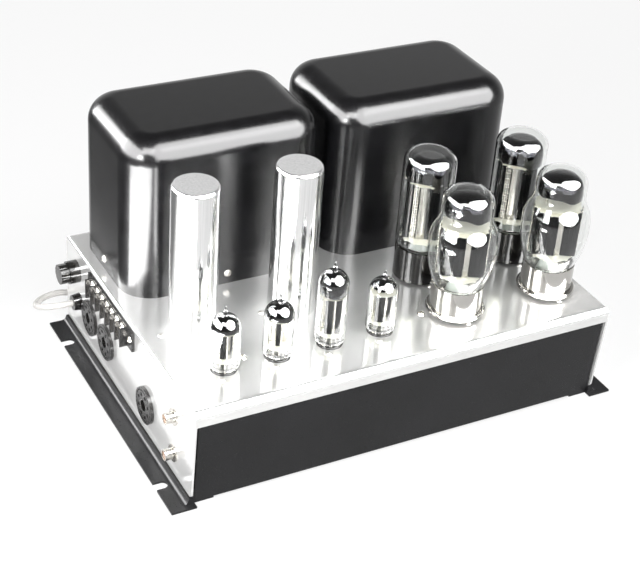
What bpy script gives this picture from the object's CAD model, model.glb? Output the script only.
# Tube power amplifier: the finish of its pieces, the cord, the light and the camera
import bmesh
import bpy
import math
from mathutils import Matrix, Vector


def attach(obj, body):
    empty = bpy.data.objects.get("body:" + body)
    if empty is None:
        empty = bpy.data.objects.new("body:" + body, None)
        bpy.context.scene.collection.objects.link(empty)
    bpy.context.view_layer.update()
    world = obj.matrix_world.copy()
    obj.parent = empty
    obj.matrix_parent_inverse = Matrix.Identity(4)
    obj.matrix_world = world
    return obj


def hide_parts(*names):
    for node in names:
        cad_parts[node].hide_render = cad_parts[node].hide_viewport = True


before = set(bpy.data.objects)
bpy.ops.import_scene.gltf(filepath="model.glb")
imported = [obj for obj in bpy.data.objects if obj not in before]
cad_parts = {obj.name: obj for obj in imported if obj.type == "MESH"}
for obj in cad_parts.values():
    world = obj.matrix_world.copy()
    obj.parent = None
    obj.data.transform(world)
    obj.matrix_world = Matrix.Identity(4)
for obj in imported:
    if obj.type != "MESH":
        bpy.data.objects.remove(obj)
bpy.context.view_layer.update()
print("frame loaded,", len(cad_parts), "nodes")

mm = 0.001
mergeDist = 0.002  # points nearer to each other than this, in millimetres, become one


# Colours are written as sRGB hex and used as linear values
def toLinear(hexColour):
    parts = [int(hexColour[i:i + 2], 16) / 255 for i in (1, 3, 5)]
    return [c / 12.92 if c <= 0.04045 else ((c + 0.055) / 1.055) ** 2.4 for c in parts] + [1]


# Adds a node; settings are its properties, inputs its sockets, and a socket among them is linked
def addNode(tree, kind, settings={}, inputs={}):
    node = tree.nodes.new(kind)
    for name, value in settings.items():
        setattr(node, name, value)
    for name, value in inputs.items():
        if isinstance(value, bpy.types.NodeSocket):
            tree.links.new(value, node.inputs[name])
        else:
            node.inputs[name].default_value = value
    return node


# An empty material with its output and the position on the piece in metres
def startMaterial(name):
    material = bpy.data.materials.new(name)
    material.use_nodes = True
    tree = material.node_tree
    tree.nodes.clear()
    output = addNode(tree, "ShaderNodeOutputMaterial")
    place = addNode(tree, "ShaderNodeTexCoord")
    return material, tree, output, place.outputs["Object"]


# A pattern of grains that are so many millimetres wide, drawn out upwards by the stretch
def grain(tree, place, size, detail, stretch=1):
    mapping = addNode(tree, "ShaderNodeMapping", inputs={
        "Vector": place, "Scale": [1 / (size * mm * s) for s in (1, 1, stretch)]})
    noise = addNode(tree, "ShaderNodeTexNoise", inputs={
        "Vector": mapping.outputs["Vector"], "Scale": 1, "Detail": detail})
    return noise.outputs["Fac"]


# Two close colours, a span of roughness and a low relief, which each follow a grain of their own
def makeFinish(plan):
    material, tree, output, place = startMaterial(plan["name"])
    shade, gloss, relief = [grain(tree, place, *plan[part], plan.get("stretch", 1))
                            for part in ("shade", "gloss", "relief")]
    middle = {"From Min": 0.3, "From Max": 0.7}  # most of a grain's values lie between these
    blend = addNode(tree, "ShaderNodeMapRange", inputs={"Value": shade, **middle})
    colour = addNode(tree, "ShaderNodeMix", {"data_type": "RGBA"}, {
        "Factor": blend.outputs["Result"],
        "A": toLinear(plan["colours"][0]), "B": toLinear(plan["colours"][1])})
    rough = addNode(tree, "ShaderNodeMapRange", inputs={
        "Value": gloss, **middle, "To Min": plan["rough"][0], "To Max": plan["rough"][1]})
    skin = addNode(tree, "ShaderNodeBump", inputs={
        "Height": relief, "Distance": plan["height"] * mm, "Strength": 1})
    shader = addNode(tree, "ShaderNodeBsdfPrincipled", inputs={
        "Base Color": colour.outputs["Result"], "Metallic": plan["metallic"],
        "Roughness": rough.outputs["Result"], "Specular IOR Level": plan.get("specular", 0.5),
        "Normal": skin.outputs["Normal"]})
    if "lidMetallic" in plan:
        facing = addNode(tree, "ShaderNodeNewGeometry").outputs["Normal"]
        upward = addNode(tree, "ShaderNodeSeparateXYZ", inputs={"Vector": facing}).outputs["Z"]
        lid = addNode(tree, "ShaderNodeMapRange", inputs={
            "Value": upward, "From Min": plan["lidFacing"][0], "From Max": plan["lidFacing"][1],
            "To Min": plan["metallic"], "To Max": plan["lidMetallic"]})
        tree.links.new(lid.outputs["Result"], shader.inputs["Metallic"])
    tree.links.new(shader.outputs["BSDF"], output.inputs["Surface"])
    return material


# Each pattern is its grain's width in millimetres and its detail; height is in millimetres.
# The finest grains are drawn coarser than the real ones, so that they show
finishPlan = {
    # Chromium plate on steel, dulled: bright and milky, with a haze that softens reflections
    "chrome": {"name": "chromium plate, dulled", "colours": ("#dededd", "#d4d4d3"),
               "metallic": 0.58, "rough": (0.12, 0.17),
               "shade": (45, 3), "gloss": (45, 3), "relief": (0.8, 2), "height": 0.008},
    # Stoving enamel on drawn steel: black and level, with a slow ripple in its gloss
    "enamel": {"name": "stoving enamel, gloss black", "colours": ("#0c0c0d", "#101012"),
               "metallic": 0, "rough": (0.2, 0.24), "specular": 0.3,
               "shade": (9, 1), "gloss": (9, 1), "relief": (9, 1), "height": 0.006},
    # Sprayed black paint on folded steel: satin, with a fine pebble
    "paint": {"name": "sprayed paint, satin black", "colours": ("#121213", "#18181a"),
              "metallic": 0, "rough": (0.27, 0.36), "specular": 0.2,
              "shade": (60, 2), "gloss": (0.9, 2), "relief": (0.9, 2), "height": 0.02},
    # Drawn aluminium, buffed: streaks run up the can, and the buff didn't reach its paler lid
    "aluminium": {"name": "aluminium, drawn and buffed", "colours": ("#e0e0e0", "#cecece"),
                  "metallic": 1, "lidMetallic": 0.5, "lidFacing": (0.8, 0.95),
                  "rough": (0.1, 0.18), "stretch": 60,
                  "shade": (1.5, 3), "gloss": (1.5, 3), "relief": (5, 1), "height": 0.06},
    # Moulded phenolic is dense and takes a soft shine from the mould
    "phenolic": {"name": "phenolic, moulded black", "colours": ("#111010", "#191716"),
                 "metallic": 0, "rough": (0.2, 0.3),
                 "shade": (14, 2), "gloss": (0.7, 2), "relief": (0.7, 2), "height": 0.004},
    # The fuse holder and the bushing are buffed, so they shine more than the other mouldings
    "buffedPhenolic": {"name": "phenolic, moulded and buffed", "colours": ("#141312", "#1c1a18"),
                       "metallic": 0, "rough": (0.06, 0.12), "specular": 1.0,
                       "shade": (14, 2), "gloss": (0.7, 2), "relief": (0.7, 2), "height": 0.002},
    # The bases of the straight tubes are the same moulding, blacker and with less shine
    "basePhenolic": {"name": "phenolic, moulded for tube bases", "colours": ("#0c0b0b", "#121110"),
                     "metallic": 0, "rough": (0.07, 0.12), "specular": 0.45,
                     "shade": (14, 2), "gloss": (0.7, 2), "relief": (0.7, 2), "height": 0.002},
    # Punched phenolic paper sheet is brown and dull
    "wafer": {"name": "phenolic paper sheet, punched", "colours": ("#5a3d24", "#6b4a2c"),
              "metallic": 0, "rough": (0.45, 0.6),
              "shade": (16, 2), "gloss": (0.8, 2), "relief": (0.8, 2), "height": 0.01},
    # Nickel plate on brass and steel is bright with a warm cast
    "nickel": {"name": "nickel plate, bright", "colours": ("#c4c1bb", "#b2afa9"),
               "metallic": 1, "rough": (0.14, 0.22),
               "shade": (16, 2), "gloss": (0.8, 2), "relief": (0.8, 2), "height": 0.004},
    # Rivets and small screws are plated in a barrel and come out dull
    "tumbled": {"name": "nickel plate, tumbled", "colours": ("#9a9894", "#878581"),
                "metallic": 1, "rough": (0.38, 0.5),
                "shade": (12, 2), "gloss": (0.6, 2), "relief": (0.6, 2), "height": 0.004},
    # The sleeves of the shouldered tubes are polished steel under nickel
    "sleeve": {"name": "nickel plate, polished sleeve", "colours": ("#bab8b4", "#aeaca8"),
               "metallic": 1, "rough": (0.08, 0.13),
               "shade": (24, 2), "gloss": (1.2, 2), "relief": (1.2, 2), "height": 0.003},
    # Carbonised nickel of the plates is matt and nearly black
    "carbonised": {"name": "nickel, carbonised", "colours": ("#050506", "#0a0a0b"),
                   "metallic": 0, "rough": (0.5, 0.65), "specular": 0.02,
                   "shade": (10, 2), "gloss": (0.5, 2), "relief": (0.5, 2), "height": 0.01},
    # Extruded rubber of the cord is pale grey and soft in its shine
    "rubber": {"name": "rubber, extruded", "colours": ("#a3a19e", "#b0aeab"),
               "metallic": 0, "rough": (0.45, 0.6),
               "shade": (10, 2), "gloss": (0.5, 2), "relief": (0.5, 2), "height": 0.01},
    # Stacked silicon steel is a dull blue-grey
    "steelCore": {"name": "silicon steel laminations", "colours": ("#5b5e62", "#6a6d70"),
                  "metallic": 0.9, "rough": (0.35, 0.5),
                  "shade": (10, 2), "gloss": (0.5, 2), "relief": (0.5, 2), "height": 0.02},
    # Wrapped kraft paper is tan and matt
    "paper": {"name": "kraft paper, wrapped", "colours": ("#b08a58", "#bd9a69"),
              "metallic": 0, "rough": (0.7, 0.8),
              "shade": (12, 2), "gloss": (0.6, 2), "relief": (0.6, 2), "height": 0.02},
    # The barium that the getter leaves on the glass is a dark mirror
    "getterFilm": {"name": "barium film, flashed", "colours": ("#121214", "#1e1e20"),
                   "metallic": 1, "rough": (0.03, 0.08),
                   "shade": (50, 2), "gloss": (2.5, 2), "relief": (2.5, 2), "height": 0.002},
    # Punched mica is milky, with a silky shine
    "mica": {"name": "mica, punched", "colours": ("#efece2", "#dedacd"),
             "metallic": 0, "rough": (0.25, 0.4),
             "shade": (12, 2), "gloss": (0.6, 2), "relief": (0.6, 2), "height": 0.01},
    # Pressed glass of the stem is grey-white where the leads go through
    "pressedGlass": {"name": "lead glass, pressed", "colours": ("#cfd4d2", "#e2e5e3"),
                     "metallic": 0, "rough": (0.08, 0.15),
                     "shade": (24, 2), "gloss": (1.2, 2), "relief": (1.2, 2), "height": 0.01}}
glassPlan = {"name": "soda-lime glass, blown", "colour": "#fbfcfb", "shadow": "#f2f4f2", "ior": 1.5,
             "specular": 0.27, "relief": (8, 1), "height": 0.02}


# Blown soda-lime glass: clear, slightly wavy, and light passes to what is inside
def blownGlass(plan):
    material, tree, output, place = startMaterial(plan["name"])
    skin = addNode(tree, "ShaderNodeBump", inputs={
        "Height": grain(tree, place, *plan["relief"]), "Distance": plan["height"] * mm,
        "Strength": 1})
    glass = addNode(tree, "ShaderNodeBsdfPrincipled", inputs={
        "Base Color": toLinear(plan["colour"]), "Roughness": 0.0, "IOR": plan["ior"],
        "Transmission Weight": 1, "Specular IOR Level": plan["specular"],
        "Normal": skin.outputs["Normal"]})
    clear = addNode(tree, "ShaderNodeBsdfTransparent", inputs={"Color": toLinear(plan["shadow"])})
    rays = addNode(tree, "ShaderNodeLightPath")
    through = addNode(tree, "ShaderNodeMath", {"operation": "MAXIMUM"}, {
        0: rays.outputs["Is Shadow Ray"], 1: rays.outputs["Is Diffuse Ray"]})
    mix = addNode(tree, "ShaderNodeMixShader", inputs={
        "Fac": through.outputs["Value"], 1: glass.outputs["BSDF"], 2: clear.outputs["BSDF"]})
    tree.links.new(mix.outputs["Shader"], output.inputs["Surface"])
    return material


finish = {key: makeFinish(plan) for key, plan in finishPlan.items()}
finish["glass"] = blownGlass(glassPlan)
# The slots of the tubes' cages, in the order that their parts count them
cageFinish = [finish[key] for key in ("nickel", "carbonised", "mica", "pressedGlass")]
nickelSlot, plateSlot, micaSlot, stemSlot = range(4)

nodeFinish = {
    "chassis": "chrome", "base_cover": "paint", "mounting_rails": "paint",
    "base_screws": "nickel", "cover_screws": "tumbled", "chassis_rivets": "tumbled",
    "power_transformer_cover": "enamel", "output_transformer_cover": "enamel",
    "power_transformer_core": "steelCore", "power_transformer_winding": "paper",
    "output_transformer_core": "steelCore", "output_transformer_winding": "paper",
    "filter_capacitor_1": "aluminium", "filter_capacitor_2": "aluminium",
    "capacitor_wafers": "wafer", "miniature_sockets": "phenolic",
    "fuse_holder": "buffedPhenolic", "fuse_cap": "buffedPhenolic", "fuse": "nickel",
    "cord_bushing": "buffedPhenolic", "cord_tie": "paper", "plug_body": "phenolic",
    "plug_blades": "nickel", "terminal_strip": "phenolic", "terminal_screws": "nickel",
    "phono_jacks": "nickel", "jack_insulators": "wafer", "tag_board": "wafer",
    "board_parts": "paper", "board_screws": "nickel"}
for i in range(1, 5):
    nodeFinish[f"octal_socket_{i}"] = "phenolic"
    nodeFinish[f"miniature_tube_{i}"] = "glass"
for i in range(1, 4):
    nodeFinish[f"accessory_socket_{i}"] = "phenolic"
for i in range(1, 3):
    nodeFinish[f"shouldered_tube_{i}"] = "glass"
    nodeFinish[f"straight_tube_{i}"] = "glass"
    nodeFinish[f"shouldered_base_{i}"] = "sleeve"
    nodeFinish[f"straight_base_{i}"] = "basePhenolic"
dressPlan = {"sharpAngle": 32, "faceWeight": 100}


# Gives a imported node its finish, and joins its triangles so that its curves shade smoothly
def dressNode(name, material, plan):
    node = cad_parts[name]
    node.data.materials.clear()
    node.data.materials.append(material)
    for face in node.data.polygons:
        face.use_smooth = True
    weld = node.modifiers.new("weld", "WELD")
    weld.merge_threshold = mergeDist * mm
    split = node.modifiers.new("edges", "EDGE_SPLIT")
    split.split_angle = math.radians(plan["sharpAngle"])
    split.use_edge_sharp = False
    level = node.modifiers.new("level faces", "WEIGHTED_NORMAL")
    level.weight = plan["faceWeight"]


for name, key in nodeFinish.items():
    dressNode(name, finish[key], dressPlan)
print("nodes dressed")

# The camera stands high at the front left, as the photograph's did: millimetres and degrees
cameraPlan = {"place": (-507.5, -860.0, 706.9), "azimuth": -30.0, "elevation": 32.56,
              "roll": 4.51, "lens": 87.28, "sensor": 36, "near": 50, "far": 20000}


def placeCamera(plan):
    az, el, roll = [math.radians(plan[k]) for k in ("azimuth", "elevation", "roll")]
    back = Vector((math.sin(az) * math.cos(el), -math.cos(az) * math.cos(el), math.sin(el)))
    right = (-back).cross(Vector((0, 0, 1))).normalized()
    up = right.cross(-back)
    turn = Matrix((right, up, back)).transposed() @ Matrix.Rotation(roll, 3, "Z")
    camera = bpy.data.objects.new("camera", bpy.data.cameras.new("camera"))
    camera.data.lens = plan["lens"]
    camera.data.sensor_width = plan["sensor"]
    camera.data.clip_start, camera.data.clip_end = plan["near"] * mm, plan["far"] * mm
    camera.location = Vector(plan["place"]) * mm
    camera.rotation_mode = "QUATERNION"
    camera.rotation_quaternion = turn.to_quaternion()
    bpy.context.scene.collection.objects.link(camera)
    bpy.context.scene.camera = camera


placeCamera(cameraPlan)

# The cord's route from the bushing to the coil, and from the coil to the plug
cordRoute = [
    (-175, 94.5, 36.5), (-177, 94.5, 36.5), (-182.9, 95.4, 35.9), (-189.1, 98.4, 34.3),
    (-193.9, 103.1, 31.9), (-196.9, 110.2, 28.7), (-196.6, 117.9, 25.5), (-193.6, 124.4, 23.1),
    (-188.5, 129.8, 21.6), (-180.7, 133.7, 20.9), (-172, 134.5, 20.8), (-163, 133, 19.7),
    (-153.9, 133, 16.5), (-144, 134.6, 12.4), (-134, 135.6, 8.6), (-124, 136.3, 5.6),
    (-113, 136.4, 3.9), (-101, 136.4, 3.3), (-89, 136.4, 3.3), (-77, 136.4, 3.3),
    (-65, 136.4, 3.3)]
tailRoute = [
    (-55, 136.4, 20.1), (-50, 136.4, 20.1), (-44, 136.4, 18.9), (-37, 136.5, 16.2),
    (-31, 136.7, 12.8), (-25, 137, 9.2), (-19, 137.3, 6.2), (-12, 137.7, 3.9), (-4, 138, 2.9),
    (4, 138.2, 2.7), (13, 138.3, 3.1), (22, 138.3, 4.4), (31, 138.3, 6.1), (41, 138.3, 7.5),
    (48, 138.3, 7.5)]
cordPlan = {"diameter": 5, "length": 1800, "coilMid": (-60, 172), "coilRadius": 30,
            "coilLow": 3.3, "layers": 4, "layerTurns": 2, "turnPitch": 5.6, "climbTurns": 0.5,
            "startAngle": -90, "ringsPerTurn": 24, "sideSteps": 4, "knotSteps": 3}


# A point of the coil after that many turns: it spirals in and out, and climbs where it reverses
def coilPoint(turns, plan):
    layer = min(int(turns / plan["layerTurns"]), plan["layers"] - 1)
    share = turns / plan["layerTurns"] - layer
    swing = 1 - 2 * share if layer % 2 == 0 else 2 * share - 1
    radius = plan["coilRadius"] + swing * plan["turnPitch"] * plan["layerTurns"] / 2
    height = plan["coilLow"]
    for k in range(1, plan["layers"]):
        climb = (turns - k * plan["layerTurns"]) / plan["climbTurns"] + 0.5
        climb = min(max(climb, 0), 1)
        height += plan["turnPitch"] * climb * climb * (3 - 2 * climb)
    angle = math.radians(360 * turns + plan["startAngle"])
    midX, midY = plan["coilMid"]
    return (midX + radius * math.cos(angle), midY + radius * math.sin(angle), height)


def makeCord(plan):
    steps = plan["layerTurns"] * plan["layers"] * plan["ringsPerTurn"]
    coil = [coilPoint(i / plan["ringsPerTurn"], plan) for i in range(steps + 1)]
    points = cordRoute + coil + tailRoute
    curve = bpy.data.curves.new("mains_cord", "CURVE")
    curve.dimensions = "3D"
    curve.bevel_depth = plan["diameter"] / 2 * mm
    curve.bevel_resolution = plan["sideSteps"]
    curve.resolution_u = plan["knotSteps"]
    curve.use_fill_caps = True
    spline = curve.splines.new("BEZIER")
    spline.bezier_points.add(len(points) - 1)
    for knot, point in zip(spline.bezier_points, points):
        knot.co = Vector(point) * mm
        knot.handle_left_type = knot.handle_right_type = "AUTO"
    cord = bpy.data.objects.new("mains_cord", curve)
    bpy.context.scene.collection.objects.link(cord)
    curve.materials.append(finish["rubber"])
    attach(cord, "amplifier")
    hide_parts("power_cord", "cord_coil", "cord_tail")


makeCord(cordPlan)
print("cord laid")


def fillSlot(bm, before, slot):
    for face in bm.faces:
        if face not in before:
            face.material_index = slot


# Turns a profile of radius and height about an upright axis; a closed profile gives a ring
def spinProfile(bm, profile, place, steps, slot=nickelSlot, closed=False):
    before = set(bm.faces)
    verts = [bm.verts.new(Vector(place) + Vector((r, 0, z))) for r, z in profile]
    edges = [bm.edges.new(pair) for pair in zip(verts, verts[1:])]
    if closed:
        edges.append(bm.edges.new((verts[-1], verts[0])))
    bmesh.ops.spin(bm, geom=verts + edges, cent=place, axis=(0, 0, 1), angle=2 * math.pi,
                   steps=steps, use_merge=True)
    fillSlot(bm, before, slot)


wireSides, rodSides = 8, 10  # sides of a ring's wire and of a rod


def addRing(bm, place, radius, wire, steps=32):
    corners = [2 * math.pi * k / wireSides for k in range(wireSides)]
    section = [(radius + wire * math.cos(a), wire * math.sin(a)) for a in corners]
    spinProfile(bm, section, place, steps, closed=True)


def addRod(bm, start, end, radius):
    before = set(bm.faces)
    run = Vector(end) - Vector(start)
    turn = run.to_track_quat("Z", "Y").to_matrix().to_4x4()
    middle = Matrix.Translation((Vector(start) + Vector(end)) / 2)
    bmesh.ops.create_cone(bm, cap_ends=True, segments=rodSides, radius1=radius, radius2=radius,
                          depth=run.length, matrix=middle @ turn)
    fillSlot(bm, before, nickelSlot)


# Extrudes an outline in plan from one height to another, in the tube's own frame
def addPlate(bm, outline, low, high, spot, slot, bevel=0):
    before = set(bm.faces)
    face = bm.faces.new([bm.verts.new(spot @ Vector((x, y, low))) for x, y in outline])
    top = bmesh.ops.extrude_face_region(bm, geom=[face])["geom"]
    bmesh.ops.translate(bm, vec=(0, 0, high - low),
                        verts=[v for v in top if isinstance(v, bmesh.types.BMVert)])
    if bevel:
        edges = dict.fromkeys(e for f in bm.faces if f not in before for e in f.edges)
        upright = [e for e in edges if abs(e.verts[0].co.z - e.verts[1].co.z) > bevel]
        bmesh.ops.bevel(bm, geom=upright, offset=bevel, segments=2, profile=0.5,
                        affect="EDGES", material=-1)
    fillSlot(bm, before, slot)


# A mica disc whose rim comes to a blunt edge
def addMica(bm, place, low, radius, plan):
    top = low + plan["micaThick"]
    profile = [(0, low), (radius, low), (radius + plan["micaRim"], (low + top) / 2),
               (radius, top), (0, top)]
    spinProfile(bm, profile, place, plan["micaSteps"], micaSlot)


# Outline of a rectangle in plan between two corners
def rectangle(x0, y0, x1, y1):
    return [(x0, y0), (x1, y0), (x1, y1), (x0, y1)]


# Closes a piece: shared points joined, faces turned out, millimetres to metres, body and slot
def finishPiece(bm, name, materials, body, replaced=(), sharpAngle=35):
    bmesh.ops.remove_doubles(bm, verts=bm.verts, dist=mergeDist)
    bmesh.ops.recalc_face_normals(bm, faces=bm.faces)
    bmesh.ops.scale(bm, vec=(mm, mm, mm), verts=bm.verts)
    mesh = bpy.data.meshes.new(name)
    bm.to_mesh(mesh)
    bm.free()
    for material in materials:
        mesh.materials.append(material)
    for face in mesh.polygons:
        face.use_smooth = True
    piece = bpy.data.objects.new(name, mesh)
    bpy.context.scene.collection.objects.link(piece)
    split = piece.modifiers.new("edges", "EDGE_SPLIT")
    split.split_angle = math.radians(sharpAngle)
    split.use_edge_sharp = False
    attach(piece, body)
    if replaced:
        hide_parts(*replaced)


filmPlan = {"thick": 0.12, "steps": 48, "raggedShare": 0.6, "sharpAngle": 80}


# The getter's film: a shell just inside the glass, whose lower edge wanders in waves. Each wave is
# how many go round the tube, its height and its phase
def makeFilm(name, body, place, profile, ragged, waves, plan):
    bm = bmesh.new()
    inner = [(max(r - plan["thick"], 0), z - plan["thick"]) for r, z in profile]
    spinProfile(bm, profile + inner[::-1], place, plan["steps"])
    bmesh.ops.remove_doubles(bm, verts=bm.verts, dist=mergeDist)
    foot = min(z for r, z in profile) + place[2]
    depth = max(z for r, z in profile) + place[2] - foot
    for vert in bm.verts:
        share = max(0, 1 - (vert.co.z - foot) / (depth * plan["raggedShare"]))
        angle = math.atan2(vert.co.y - place[1], vert.co.x - place[0])
        sway = sum(h * math.sin(n * angle + p) for n, h, p in waves)
        vert.co.z += ragged * sway * share
    finishPiece(bm, name, [finish["getterFilm"]], body,
                sharpAngle=plan["sharpAngle"])


# Miniature tubes: turn faces the camera; plates lists the dark plates' edges across each tube
miniaturePlan = {
    "first": (-129.6, -83, 82.5), "pitch": 41, "turn": -30, "radius": 10.85, "wall": 0.9,
    "height": 43.2, "extra": [0, 0, 16, 0], "topRoom": [12.5, 12.5, 20, 11],
    "pins": 9, "pinStep": 36, "pinRing": 5.95, "pinRadius": 0.51, "pinLength": 6.5,
    "pinTop": 2.6, "leadFoot": 2.4, "leadIn": 1.2, "leadRadius": 0.28,
    "micaLow": 8, "micaRoom": 1.2, "micaThick": 0.3, "micaRim": 0.3, "micaSteps": 32,
    "plates": [[(-2.9, 0.6), (1.2, 2.6), (4.2, 5.4)], [(-1.6, 1.4)], [(-4.4, 0.9), (3.2, 6.6)],
               [(-4.6, 1.7), (4.9, 6.2)]],
    "plateFoot": 0.5, "plateTop": 0.2, "plateSide": 1.6, "plateBevel": 0.35,
    "ribHalf": 0.2, "ribRise": 0.35, "ribRoom": 2.5, "thinBevel": 0.1,
    "shield": (-7.2, 2.6, 7.2, 3), "rods": [(-6.6, -1), (6.9, -0.6), (2.2, -4.2)],
    "rodFoot": 2, "rodTop": 1.2, "rodRadius": 0.4,
    "postX": 3, "postHeight": 2.4, "postRadius": 0.3, "ringRise": 2.6, "ringRadius": 3,
    "ringWire": 0.45, "filmDepth": [11, 11, 17.5, 7], "filmRoom": 0.15, "filmTopRoom": 0.3,
    "domeFrom": 2, "domeSteps": 10, "ragged": 1, "waves": [(2, 0.5, 0.4), (3, 0.3, 0)],
    "waveShifts": (1, 1.7)}


def makeMiniature(i, plan):
    place = Vector(plan["first"]) + Vector((plan["pitch"] * i, 0, 0))
    spot = Matrix.Translation(place) @ Matrix.Rotation(math.radians(plan["turn"]), 4, "Z")
    height = plan["height"] + plan["extra"][i]
    low, high = plan["micaLow"], height - plan["topRoom"][i]
    inner = plan["radius"] - plan["wall"]
    plateLow, plateHigh = low + plan["plateFoot"], high - plan["plateTop"]
    bm = bmesh.new()
    for k in range(plan["pins"]):
        a = math.radians(plan["pinStep"] * k)
        out = Vector((math.cos(a), math.sin(a), 0))
        foot = place + out * plan["pinRing"]
        addRod(bm, foot - Vector((0, 0, plan["pinLength"])), foot + Vector((0, 0, plan["pinTop"])),
               plan["pinRadius"])
        addRod(bm, foot + Vector((0, 0, plan["leadFoot"])),
               foot - out * plan["leadIn"] + Vector((0, 0, low)), plan["leadRadius"])
    for z in (low, high):
        addMica(bm, place, z, inner - plan["micaRoom"], plan)
    for left, right in plan["plates"][i]:
        middle, deep = (left + right) / 2, (right - left) / 2 + plan["plateSide"]
        addPlate(bm, rectangle(left, -deep, right, deep), plateLow, plateHigh, spot, plateSlot,
                 plan["plateBevel"])
        for side in (-deep, deep):
            rib = rectangle(middle - plan["ribHalf"], side - plan["ribRise"],
                            middle + plan["ribHalf"], side + plan["ribRise"])
            addPlate(bm, rib, low + plan["ribRoom"], high - plan["ribRoom"], spot, plateSlot,
                     plan["thinBevel"])
    addPlate(bm, rectangle(*plan["shield"]), plateLow, plateHigh, spot, nickelSlot,
             plan["thinBevel"])
    for x, y in plan["rods"]:
        addRod(bm, spot @ Vector((x, y, low - plan["rodFoot"])),
               spot @ Vector((x, y, high + plan["rodTop"])), plan["rodRadius"])
    for x in (-plan["postX"], plan["postX"]):
        addRod(bm, spot @ Vector((x, 0, high)), spot @ Vector((x, 0, high + plan["postHeight"])),
               plan["postRadius"])
    addRing(bm, place + Vector((0, 0, high + plan["ringRise"])), plan["ringRadius"],
            plan["ringWire"])
    body = f"miniature_{i + 1}"
    finishPiece(bm, f"miniature_cage_{i + 1}", cageFinish, body,
                [f"miniature_electrodes_{i + 1}"])
    # The film lines the dome, and a deep one runs on down the wall
    dome, shoulder = inner - plan["filmRoom"], height - plan["radius"]
    step = math.pi / 2 / plan["domeSteps"]
    profile = [(0, height - plan["wall"] - plan["filmTopRoom"])] + [
        (dome * math.sin(t * step), shoulder + dome * math.cos(t * step))
        for t in range(plan["domeFrom"], plan["domeSteps"] + 1)]
    lowest = height - plan["filmDepth"][i]
    profile = [p for p in profile if p[1] > lowest] + [(dome, lowest)] * (lowest < shoulder)
    # From tube to tube the waves are shifted, so that no two films are alike
    waves = [(n, h, p + i * shift) for (n, h, p), shift in zip(plan["waves"], plan["waveShifts"])]
    makeFilm(f"getter_film_{i + 1}", body, place, profile, plan["ragged"], waves, filmPlan)


for i in range(4):
    makeMiniature(i, miniaturePlan)
print("miniature tubes filled")

# What both kinds of power tube share; stem and press are set about the top of the base
powerPlan = {
    "turn": -30, "pins": 8, "pinStart": 22.5, "pinRing": 8.73, "pinRadius": 1.18,
    "pinLength": 11, "pinTop": 3,
    "stem": [(0, -8), (9.5, -8), (8.4, -5), (6.4, 0), (5.8, 3), (0, 3.4)], "stemSteps": 32,
    "press": (-7.6, -2.2, 7.6, 2.2), "pressFoot": 1, "pressRoom": 2.6, "pressBevel": 1,
    "leads": (-6.6, -4, -1.3, 1.3, 4, 6.6), "leadFoot": 3.2, "leadSpread": 1.5,
    "leadBack": 1.5, "leadRadius": 0.4, "micaThick": 0.4, "micaRim": 0.3, "micaInset": 1.4,
    "micaSteps": 48, "micaPair": 3.4, "teeth": 12, "toothStart": 9,
    "tooth": [(0.9, -0.1), (1, -0.03), (1, 0.03), (0.9, 0.1)],
    "toothInset": 0.05, "plateRoom": 0.6, "plateBevel": 0.8, "wideFrom": 8, "ribApart": 1.6,
    "ribHalf": 0.35, "ribRise": 0.5, "ribSink": 0.2, "ribRoom": 3, "ribBevel": 0.2,
    "sheetThick": 0.5, "sheetBevel": 0.15, "backLeft": 5.4, "backRight": 1, "backY": 1,
    "rodFoot": 1, "rodTop": 2.6, "rodRadius": 0.55, "gridPitch": 2.4, "gridFoot": 1.5,
    "gridRadius": 0.7, "gridWire": 0.22, "gridSteps": 10,
    "postX": 9, "postRadius": 0.6, "barRadius": 0.5, "barRoom": 1, "ringRadius": 5.5,
    "ringWire": 0.7, "ragged": 1.6,
    "waves": [(2, 0.6, 0.9), (3, 0.45, 2.1), (5, 0.3, 0.3), (9, 0.15, 1.1)]}
# Heights stand above the base's foot; dark and bright plates are set out as the camera sees them
straightPlan = {
    **powerPlan, "kind": "straight", "places": [(58, -27.5, 83.1), (138.5, -27.5, 83.1)],
    "base": 26, "low": 7, "high": 55, "getter": 64, "micaRadius": 16.8,
    "dark": [(-15.4, -10.4, 7), (1.2, 13.2, 8)], "bright": [(-5.2, 1, -8.2)],
    "rods": [(-9.3, -6.5), (-7.9, -7), (-6.4, -7.2)], "film": 16,
    "dome": [(0, 98.6), (7, 98.5), (11, 97.6), (14.3, 95.4), (16.3, 92.4), (17, 89)]}
shoulderedPlan = {
    **powerPlan, "kind": "shouldered", "places": [(58, -81, 83.1), (138.5, -81, 83.1)],
    "base": 23, "low": 9, "high": 46, "getter": 60, "micaRadius": 17.6,
    "dark": [(-15.8, -6.7, 9), (-6.1, 1, 9.4), (5.5, 17, 8)], "bright": [(1.4, 5.2, -8.6)],
    "rods": [(-17.6, -2), (-16.9, 2), (18.2, 0)], "film": 15,
    "dome": [(0, 96.4), (5.6, 96.1), (10.6, 94.6), (14.1, 91.9), (16.1, 88.2), (16.7, 84)]}


# Pins, the pressed stem with its flattened top, and the leads that rise from it
def addStem(bm, place, spot, base, low, plan):
    for k in range(plan["pins"]):
        a = math.radians(plan["pinStart"] + 360 / plan["pins"] * k)
        foot = place + Vector((math.cos(a), math.sin(a), 0)) * plan["pinRing"]
        addRod(bm, foot - Vector((0, 0, plan["pinLength"])), foot + Vector((0, 0, plan["pinTop"])),
               plan["pinRadius"])
    spinProfile(bm, [(r, base + z) for r, z in plan["stem"]], place, plan["stemSteps"], stemSlot)
    addPlate(bm, rectangle(*plan["press"]), base + plan["pressFoot"], low - plan["pressRoom"],
             spot, stemSlot, plan["pressBevel"])
    for x in plan["leads"]:
        addRod(bm, spot @ Vector((x, 0, low - plan["leadFoot"])),
               spot @ Vector((x * plan["leadSpread"], plan["leadBack"], low)),
               plan["leadRadius"])


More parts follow.
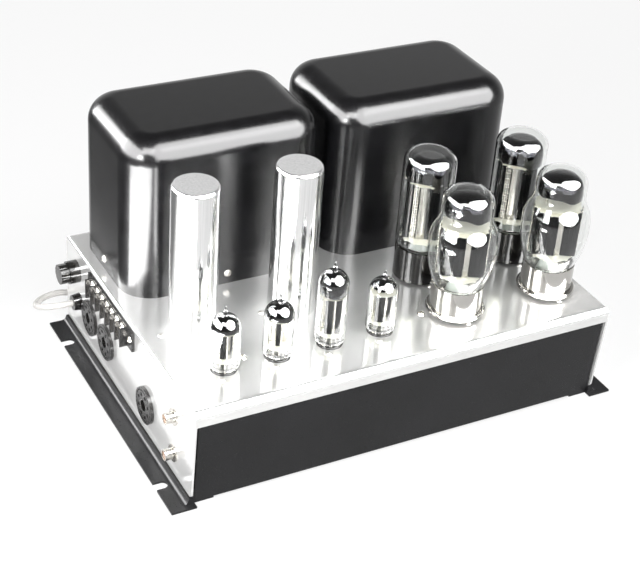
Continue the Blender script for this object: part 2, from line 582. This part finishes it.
# A mica with the points round its rim that hold it in the bulb
def addToothedMica(bm, place, low, plan):
    addMica(bm, place, low, plan["micaRadius"] - plan["micaInset"], plan)
    top = low + plan["micaThick"] - plan["toothInset"]
    for k in range(plan["teeth"]):
        a = math.radians(360 / plan["teeth"] * k + plan["toothStart"])
        tip = [(plan["micaRadius"] * f * math.cos(a + d), plan["micaRadius"] * f * math.sin(a + d))
               for f, d in plan["tooth"]]
        addPlate(bm, tip, low + plan["toothInset"], top, Matrix.Translation(place), micaSlot)


# Dark plates with their ribs, the bright sheets, and the grids' rods with their windings
def addPlates(bm, spot, low, high, plan):
    plateLow, plateHigh = low + plan["plateRoom"], high - plan["plateRoom"]
    for left, right, deep in plan["dark"]:
        addPlate(bm, rectangle(left, -deep, right, deep), plateLow, plateHigh, spot, plateSlot,
                 plan["plateBevel"])
        middle, apart = (left + right) / 2, plan["ribApart"]
        for x in ((middle - apart, middle + apart) if right - left > plan["wideFrom"]
                  else (middle,)):
            rib = rectangle(x - plan["ribHalf"], -deep - plan["ribRise"],
                            x + plan["ribHalf"], -deep + plan["ribSink"])
            addPlate(bm, rib, low + plan["ribRoom"], high - plan["ribRoom"], spot, plateSlot,
                     plan["ribBevel"])
    for left, right, front in plan["bright"]:
        addPlate(bm, rectangle(left, front, right, front + plan["sheetThick"]), plateLow,
                 plateHigh, spot, nickelSlot, plan["sheetBevel"])
        back = rectangle(left - plan["backLeft"], plan["backY"], right + plan["backRight"],
                         plan["backY"] + plan["sheetThick"])
        addPlate(bm, back, plateLow, plateHigh, spot, plateSlot, plan["sheetBevel"])
    for x, y in plan["rods"]:
        addRod(bm, spot @ Vector((x, y, low - plan["rodFoot"])),
               spot @ Vector((x, y, high + plan["rodTop"])), plan["rodRadius"])
        for k in range(int((high - low) / plan["gridPitch"])):
            height = low + plan["gridFoot"] + plan["gridPitch"] * k
            addRing(bm, spot @ Vector((x, y, height)), plan["gridRadius"], plan["gridWire"],
                    plan["gridSteps"])


def makePowerTube(i, plan):
    place = Vector(plan["places"][i])
    spot = Matrix.Translation(place) @ Matrix.Rotation(math.radians(plan["turn"]), 4, "Z")
    base = plan["base"]
    low, high, getter = [base + plan[k] for k in ("low", "high", "getter")]
    bm = bmesh.new()
    addStem(bm, place, spot, base, low, plan)
    for z in (low - plan["micaThick"], high, high + plan["micaPair"]):
        addToothedMica(bm, place, z, plan)
    addPlates(bm, spot, low, high, plan)
    # Getter ring on its two supports
    bar = getter - plan["barRoom"]
    ends = [-plan["postX"], plan["postX"]]
    for x in ends:
        addRod(bm, spot @ Vector((x, 0, high)), spot @ Vector((x, 0, bar)), plan["postRadius"])
    addRod(bm, spot @ Vector((ends[0], 0, bar)), spot @ Vector((ends[1], 0, bar)),
           plan["barRadius"])
    addRing(bm, place + Vector((0, 0, getter)), plan["ringRadius"], plan["ringWire"])
    kind = plan["kind"]
    body = f"{kind}_{i + 1}"
    finishPiece(bm, f"{kind}_cage_{i + 1}", cageFinish, body,
                [f"{kind}_electrodes_{i + 1}"])
    top, side = plan["dome"][0][1], plan["dome"][-1][0]
    makeFilm(f"{kind}_getter_film_{i + 1}", body, place,
             plan["dome"] + [(side, top - plan["film"])], plan["ragged"], plan["waves"], filmPlan)


for plan in (straightPlan, shoulderedPlan):
    for i in range(2):
        makePowerTube(i, plan)
print("power tubes filled")

# Millimetres; glow is the share of the floor that shows as plain white to camera and reflections
floorPlan = {"half": 6000, "drop": 0.5, "colour": "#e8e8e8", "glow": 0.7,
             "clothColour": "#0c0c0c", "clothShare": 0.75, "clothX": (-235, -212),
             "clothY": (80, 160)}


# The floor is pale paper, and keeps a soft shadow under the object
def makeFloor(plan):
    bm = bmesh.new()
    bmesh.ops.create_grid(bm, x_segments=1, y_segments=1, size=plan["half"] * mm)
    mesh = bpy.data.meshes.new("floor")
    bm.to_mesh(mesh)
    bm.free()
    floor = bpy.data.objects.new("floor", mesh)
    bpy.context.scene.collection.objects.link(floor)
    floor.location.z = -plan["drop"] * mm
    material, tree, output, place = startMaterial("paper background, white")
    rays = addNode(tree, "ShaderNodeLightPath")
    seen = addNode(tree, "ShaderNodeMath", {"operation": "MAXIMUM"}, {
        0: rays.outputs["Is Camera Ray"], 1: rays.outputs["Is Glossy Ray"]})
    seenToo = addNode(tree, "ShaderNodeMath", {"operation": "MAXIMUM"}, {
        0: seen.outputs["Value"], 1: rays.outputs["Is Transmission Ray"]})
    share = addNode(tree, "ShaderNodeMath", {"operation": "MULTIPLY"}, {
        0: seenToo.outputs["Value"], 1: plan["glow"]})
    lit = addNode(tree, "ShaderNodeBsdfDiffuse", inputs={"Color": toLinear(plan["colour"])})
    white = addNode(tree, "ShaderNodeEmission", inputs={"Color": (1, 1, 1, 1), "Strength": 1})
    paper = addNode(tree, "ShaderNodeMixShader", inputs={
        "Fac": share.outputs["Value"], 1: lit.outputs["BSDF"], 2: white.outputs["Emission"]})
    # A dark cloth at the rear left, which only gloss sees, keeps the covers' left faces black
    spot = addNode(tree, "ShaderNodeSeparateXYZ", inputs={"Vector": place})
    across = addNode(tree, "ShaderNodeMapRange", {"interpolation_type": "SMOOTHSTEP"}, {
        "Value": spot.outputs["X"], "From Min": plan["clothX"][0] * mm,
        "From Max": plan["clothX"][1] * mm, "To Min": plan["clothShare"], "To Max": 0.0})
    along = addNode(tree, "ShaderNodeMapRange", {"interpolation_type": "SMOOTHSTEP"}, {
        "Value": spot.outputs["Y"], "From Min": plan["clothY"][0] * mm,
        "From Max": plan["clothY"][1] * mm, "To Min": 0.0, "To Max": 1.0})
    cloth = addNode(tree, "ShaderNodeMath", {"operation": "MULTIPLY"}, {
        0: across.outputs["Result"], 1: along.outputs["Result"]})
    shade = addNode(tree, "ShaderNodeMath", {"operation": "MULTIPLY"}, {
        0: cloth.outputs["Value"], 1: rays.outputs["Is Glossy Ray"]})
    black = addNode(tree, "ShaderNodeBsdfDiffuse", inputs={
        "Color": toLinear(plan["clothColour"])})
    ground = addNode(tree, "ShaderNodeMixShader", inputs={
        "Fac": shade.outputs["Value"], 1: paper.outputs["Shader"], 2: black.outputs["BSDF"]})
    tree.links.new(ground.outputs["Shader"], output.inputs["Surface"])
    mesh.materials.append(material)


# The dark ceiling's direction, the span over which it comes in, and the world's strengths
worldPlan = {"ceiling": (-0.21, -0.37, 0.905), "span": (-0.45, 0.45), "dark": 0.2, "shown": 1.0,
             "diffuse": 0.8}


# White to the camera, and darker overhead on the camera's side for reflections
def makeWorld(plan):
    world = bpy.data.worlds.new("studio")
    bpy.context.scene.world = world
    world.use_nodes = True
    tree = world.node_tree
    tree.nodes.clear()
    rays = addNode(tree, "ShaderNodeLightPath")
    way = addNode(tree, "ShaderNodeTexCoord").outputs["Generated"]
    ceiling = addNode(tree, "ShaderNodeVectorMath", {"operation": "DOT_PRODUCT"}, {
        0: way, 1: plan["ceiling"]})
    lift = addNode(tree, "ShaderNodeMapRange", {"interpolation_type": "SMOOTHSTEP"}, {
        "Value": ceiling.outputs["Value"], "From Min": plan["span"][0],
        "From Max": plan["span"][1], "To Min": plan["shown"], "To Max": plan["dark"]})
    shown = addNode(tree, "ShaderNodeMix", {"data_type": "FLOAT"}, {
        "Factor": rays.outputs["Is Camera Ray"], "A": lift.outputs["Result"],
        "B": plan["shown"]})
    level = addNode(tree, "ShaderNodeMix", {"data_type": "FLOAT"}, {
        "Factor": rays.outputs["Is Diffuse Ray"], "A": shown.outputs["Result"],
        "B": plan["diffuse"]})
    back = addNode(tree, "ShaderNodeBackground", inputs={
        "Color": (1, 1, 1, 1), "Strength": level.outputs["Result"]})
    output = addNode(tree, "ShaderNodeOutputWorld")
    tree.links.new(back.outputs["Background"], output.inputs["Surface"])


# Lamps that light the object: places, aims and sizes in millimetres, power in watts
lampPlan = [
    {"name": "fill_left", "place": (-900, -500, 470), "aim": (0, 0, 100),
     "shape": "RECTANGLE", "size": (260, 260), "watts": 11},
    {"name": "fill_front", "place": (500, -700, 1100), "aim": (0, 0, 100),
     "shape": "RECTANGLE", "size": (700, 400), "watts": 6}]
# Soft boxes that show only as highlights in gloss, metal and glass
softBoxPlan = [
    {"name": "scoop_right", "place": (250, -620, 660), "aim": (0, 0, 110),
     "shape": "DISK", "size": (1250, 1250), "watts": 100},
    {"name": "softbox_front_left", "place": (-475, -480, 865), "aim": (-150, 20, 180),
     "shape": "RECTANGLE", "size": (520, 420), "watts": 20},
    {"name": "window_left", "place": (-900, 500, 670), "aim": (0, 500, 670),
     "shape": "RECTANGLE", "size": (2200, 800), "watts": 150},
    {"name": "reflector_left", "place": (-375, -145, 2), "aim": (-375, -145, 500),
     "shape": "RECTANGLE", "size": (270, 370), "watts": 15}]


def makeLamp(plan, glossOnly):
    light = bpy.data.lights.new(plan["name"], "AREA")
    light.shape = plan["shape"]
    light.size = plan["size"][0] * mm
    if light.shape == "RECTANGLE":
        light.size_y = plan["size"][1] * mm
    light.energy = plan["watts"]
    lamp = bpy.data.objects.new(plan["name"], light)
    lamp.location = Vector(plan["place"]) * mm
    aim = Vector(plan["aim"]) - Vector(plan["place"])
    lamp.rotation_mode = "QUATERNION"
    lamp.rotation_quaternion = aim.to_track_quat("-Z", "Y")
    lamp.visible_camera = False
    lamp.visible_diffuse = not glossOnly
    bpy.context.scene.collection.objects.link(lamp)


makeFloor(floorPlan)
makeWorld(worldPlan)
for plan in lampPlan:
    makeLamp(plan, False)
for plan in softBoxPlan:
    makeLamp(plan, True)
print("studio lit")

bpy.context.scene.view_settings.view_transform = "Standard"
